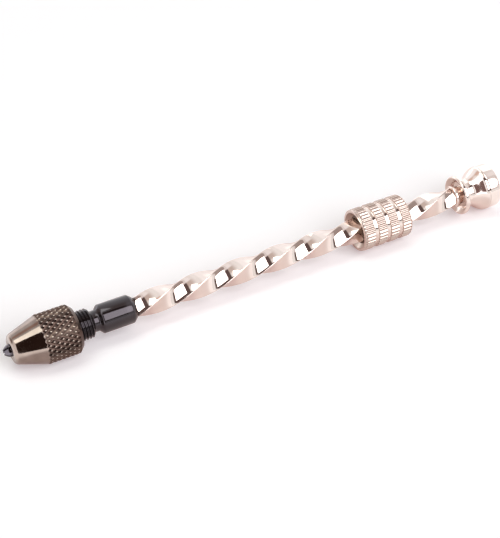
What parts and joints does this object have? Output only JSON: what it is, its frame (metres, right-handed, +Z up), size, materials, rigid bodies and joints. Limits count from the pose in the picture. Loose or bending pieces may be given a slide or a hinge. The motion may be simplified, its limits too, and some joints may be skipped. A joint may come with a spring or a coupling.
{
  "type": "archimedean drill",
  "caption": "Slim all-metal spiral push drill with a left-hand twisted square bar, a ribbed slider, a knurled pin chuck and a freely turning head.",
  "frame": {"origin": "centre of the bounding box, at the bottom: midway along the drill and level with the underside of the chuck nut", "axes": "+X along the drill's axis from the chuck towards the head, +Z up, so the drill lies on its side with its axis 5 mm above the table"},
  "size_m": [0.11, 0.01, 0.01],
  "materials": {
    "satin_nickel": "nickel-plated steel, knurled grip and polished cone",
    "black_oxide": "blackened steel, lightly oiled",
    "bright_nickel": "bright nickel plate on steel",
    "guide_steel": "punched steel plate, nickel-plated",
    "washer_brass": "turned brass",
    "spring_steel": "oiled spring steel"
  },
  "bodies": {
    "head": {"head_knob": "bright_nickel", "head_cap": "bright_nickel"},
    "spindle": {"twisted_bar": "bright_nickel", "thrust_collar": "bright_nickel", "chuck_body": "black_oxide", "head_washer": "washer_brass", "retaining_clip": "spring_steel"},
    "slider": {"slider_sleeve": "bright_nickel", "front_guide": "guide_steel", "rear_guide": "guide_steel"},
    "collet": {"collet": "black_oxide"},
    "nut": {"chuck_nut": "satin_nickel"}
  },
  "joints": [
    {"name": "slider_travel", "type": "slide", "parent": "head", "child": "slider", "axis": [1, 0, 0], "range_m": [-0.0495, 0.0121]},
    {"name": "spindle_spin", "type": "hinge", "parent": "head", "child": "spindle", "pos_m": [0, 0, 0.005], "axis": [1, 0, 0], "continuous": true},
    {"name": "collet_draw", "type": "slide", "parent": "spindle", "child": "collet", "axis": [1, 0, 0], "range_m": [-0.00195, 0]},
    {"name": "nut_turn", "type": "hinge", "parent": "collet", "child": "nut", "pos_m": [0, 0, 0.005], "axis": [1, 0, 0], "range_deg": [-1081, 0]}
  ],
  "couplings": [
    {"joint": "spindle_spin", "follows": "slider_travel", "rad_per_m": 174.53},
    {"joint": "nut_turn", "follows": "collet_draw", "rad_per_m": 9666.4}
  ]
}
